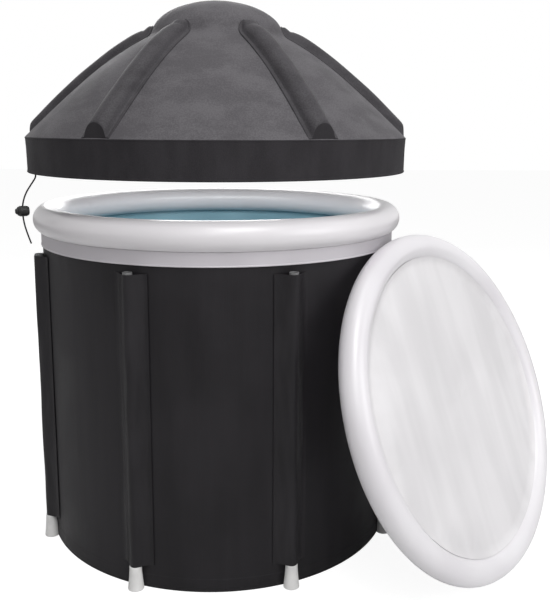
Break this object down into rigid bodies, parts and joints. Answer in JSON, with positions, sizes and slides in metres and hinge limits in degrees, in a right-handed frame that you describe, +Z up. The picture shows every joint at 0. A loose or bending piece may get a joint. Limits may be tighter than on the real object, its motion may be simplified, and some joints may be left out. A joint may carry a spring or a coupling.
{
  "type": "cold plunge tub",
  "caption": "Soft round cold plunge tub on upright legs with an inflated rim, an inflatable disc lid leaning on its side and a ribbed dome cover raised above it.",
  "frame": {"origin": "on the tub's axis at floor level, the middle of the base panel's underside", "axes": "+Z up along the tub's axis, -Y towards the front, the lid leans at the +X side"},
  "size_m": [1.2087, 0.978, 1.1953],
  "materials": {
    "coated_fabric": "satin coated cloth",
    "cover_fabric": "matt grained cloth",
    "hem_fabric": "matt cloth",
    "white_film": "satin film",
    "skirt_film": "satin film",
    "liner_film": "satin film",
    "foam": "soft foam",
    "pole_plastic": "moulded",
    "foot_plastic": "moulded",
    "valve_plastic": "moulded",
    "black_plastic": "moulded",
    "black_cord": "braided",
    "black_rubber": "moulded",
    "spring_steel": "drawn wire"
  },
  "bodies": {
    "tub": {"base_panel": "coated_fabric", "floor_pad": "foam", "outer_wall": "coated_fabric", "insulation_wall": "foam", "inner_liner": "liner_film", "top_ring": "white_film", "ring_skirt": "skirt_film", "ring_valve_body": "valve_plastic", "leg_pole_1": "pole_plastic", "leg_pole_2": "pole_plastic", "leg_pole_3": "pole_plastic", "leg_pole_4": "pole_plastic", "leg_pole_5": "pole_plastic", "leg_pole_6": "pole_plastic", "leg_pole_7": "pole_plastic", "leg_pole_8": "pole_plastic", "leg_sleeve_1": "coated_fabric", "leg_sleeve_2": "coated_fabric", "leg_sleeve_3": "coated_fabric", "leg_sleeve_4": "coated_fabric", "leg_sleeve_5": "coated_fabric", "leg_sleeve_6": "coated_fabric", "leg_sleeve_7": "coated_fabric", "leg_sleeve_8": "coated_fabric", "foot_cap_1": "foot_plastic", "foot_cap_2": "foot_plastic", "foot_cap_3": "foot_plastic", "foot_cap_4": "foot_plastic", "foot_cap_5": "foot_plastic", "foot_cap_6": "foot_plastic", "foot_cap_7": "foot_plastic", "foot_cap_8": "foot_plastic", "drain_gasket": "black_rubber", "drain_fitting": "black_plastic", "drain_nut": "black_plastic"},
    "ring_valve_cap": {"ring_valve_cap": "valve_plastic"},
    "drain_cap": {"drain_cap": "black_plastic"},
    "lid": {"lid_ring": "white_film", "lid_front_panel": "white_film", "lid_back_panel": "white_film", "lid_valve_body": "valve_plastic"},
    "lid_valve_cap": {"lid_valve_cap": "valve_plastic"},
    "cover": {"cover_panel": "cover_fabric", "cover_crown": "cover_fabric", "cover_hem": "hem_fabric", "cover_rib_1": "cover_fabric", "cover_rib_2": "cover_fabric", "cover_rib_3": "cover_fabric", "cover_rib_4": "cover_fabric", "cover_rib_5": "cover_fabric", "cover_rib_6": "cover_fabric", "drawstring_loop": "black_cord", "drawstring": "black_cord", "cord_lock_body": "black_plastic", "cord_lock_spring": "spring_steel"},
    "cord_lock_button": {"cord_lock_button": "black_plastic"}
  },
  "joints": [
    {"name": "cover_lift", "type": "slide", "parent": "tub", "child": "cover", "axis": [0, 0, 1], "range_m": [-0.122, 0.55]},
    {"name": "lid_tip", "type": "hinge", "parent": "tub", "child": "lid", "pos_m": [0.60341, -0.3338, 0.02867], "axis": [0.6639, 0.7478, 0], "range_deg": [0, 111]},
    {"name": "ring_valve_flip", "type": "hinge", "parent": "tub", "child": "ring_valve_cap", "pos_m": [-0.011, -0.35747, 0.73605], "axis": [0, -0.5, 0.866], "range_deg": [0, 140]},
    {"name": "lid_valve_flip", "type": "hinge", "parent": "lid", "child": "lid_valve_cap", "pos_m": [0.56376, -0.31331, 0.10533], "axis": [-0.2728, 0.2422, 0.9311], "range_deg": [0, 140]},
    {"name": "drain_cap_turn", "type": "hinge", "parent": "tub", "child": "drain_cap", "pos_m": [0, 0.42, 0.045], "axis": [0, 1, 0], "continuous": true},
    {"name": "cord_lock_press", "type": "slide", "parent": "cover", "child": "cord_lock_button", "axis": [0.866, 0.5, 0], "range_m": [0, 0.004], "stiffness_N_per_m": 400, "springref_m": -0.003, "deforming": ["cord_lock_spring"]}
  ]
}
